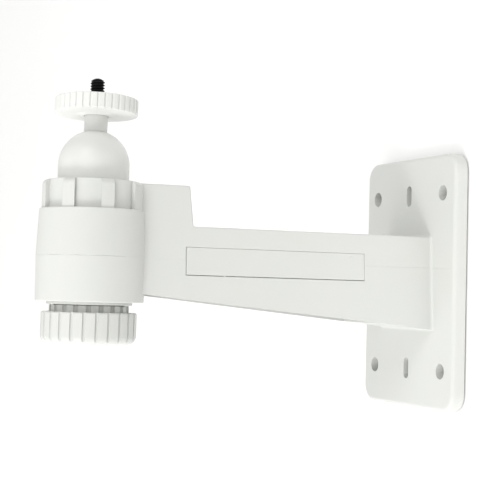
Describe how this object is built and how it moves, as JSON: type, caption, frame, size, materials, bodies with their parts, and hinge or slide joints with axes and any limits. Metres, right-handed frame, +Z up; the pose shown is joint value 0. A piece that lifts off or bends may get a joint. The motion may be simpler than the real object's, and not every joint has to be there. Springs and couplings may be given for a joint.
{
  "type": "camera wall bracket",
  "caption": "Wall bracket whose hollow arm carries a clamped head: a dome that pans, a neck that tilts, and a threaded stud with a fluted lock disc for a small camera.",
  "frame": {"origin": "centre of the four screw holes in the wall plate's back face", "axes": "+Y into the wall, +Z up, +X to the right seen from the room; the arm reaches out along -Y"},
  "size_m": [0.084, 0.1911, 0.1456],
  "materials": {
    "white_shell": "fine moulded satin",
    "white_panel": "moulded satin",
    "white_bush": "moulded satin",
    "nylon_washer": "moulded satin",
    "white_dome": "moulded satin",
    "nylon_cup": "moulded satin",
    "spring_steel": "plain",
    "white_ball": "moulded satin",
    "white_neck": "moulded satin",
    "screw_steel": "plain",
    "black_steel": "black oxide",
    "black_rubber": "matt",
    "white_disc": "moulded satin",
    "brass": "machined",
    "washer_steel": "plain",
    "white_plug": "moulded satin",
    "white_knob": "moulded satin",
    "white_cap": "moulded satin"
  },
  "bodies": {
    "bracket": {"bracket_body": "white_shell", "side_panel": "white_panel", "clamp_bush": "white_bush", "pan_washer": "nylon_washer"},
    "turret": {"dome_turret": "white_dome", "pressure_cup": "nylon_cup", "clamp_spring": "spring_steel"},
    "ball": {"tilt_ball": "white_ball"},
    "neck": {"neck_post": "white_neck", "neck_screw": "screw_steel", "stud": "black_steel"},
    "pad": {"camera_pad": "black_rubber"},
    "disc": {"lock_disc": "white_disc", "disc_nut": "brass"},
    "thrust": {"thrust_washer": "washer_steel"},
    "knob": {"clamp_plug": "white_plug", "knob_grip": "white_knob", "knob_screw": "screw_steel", "knob_cap": "white_cap"}
  },
  "joints": [
    {"name": "pan", "type": "hinge", "parent": "bracket", "child": "turret", "pos_m": [0, -0.167, 0.0465], "axis": [0, 0, 1], "range_deg": [-180, 180]},
    {"name": "tilt", "type": "hinge", "parent": "turret", "child": "ball", "pos_m": [0, -0.167, 0.0465], "axis": [-0.5, -0.866, 0], "range_deg": [-3.1, 86.9]},
    {"name": "swivel", "type": "hinge", "parent": "ball", "child": "neck", "pos_m": [0, -0.167, 0.0465], "axis": [-0.0468, 0.027, 0.9985], "continuous": true},
    {"name": "disc_lift", "type": "slide", "parent": "neck", "child": "pad", "axis": [-0.0468, 0.027, 0.9985], "range_m": [0, 0.00381]},
    {"name": "disc_turn", "type": "hinge", "parent": "pad", "child": "disc", "pos_m": [-0.00124, -0.16629, 0.07286], "axis": [-0.0468, 0.027, 0.9985], "range_deg": [0, 1080]},
    {"name": "clamp_lift", "type": "slide", "parent": "bracket", "child": "thrust", "axis": [0, 0, 1], "range_m": [-0.0025, 0], "deforming": ["clamp_spring"]},
    {"name": "knob_turn", "type": "hinge", "parent": "thrust", "child": "knob", "pos_m": [0, -0.167, -0.024], "axis": [0, 0, 1], "range_deg": [-360, 0]}
  ],
  "couplings": [
    {"joint": "disc_turn", "follows": "disc_lift", "rad_per_m": 4947.4},
    {"joint": "clamp_lift", "follows": "knob_turn", "m_per_rad": 0.00039789}
  ]
}
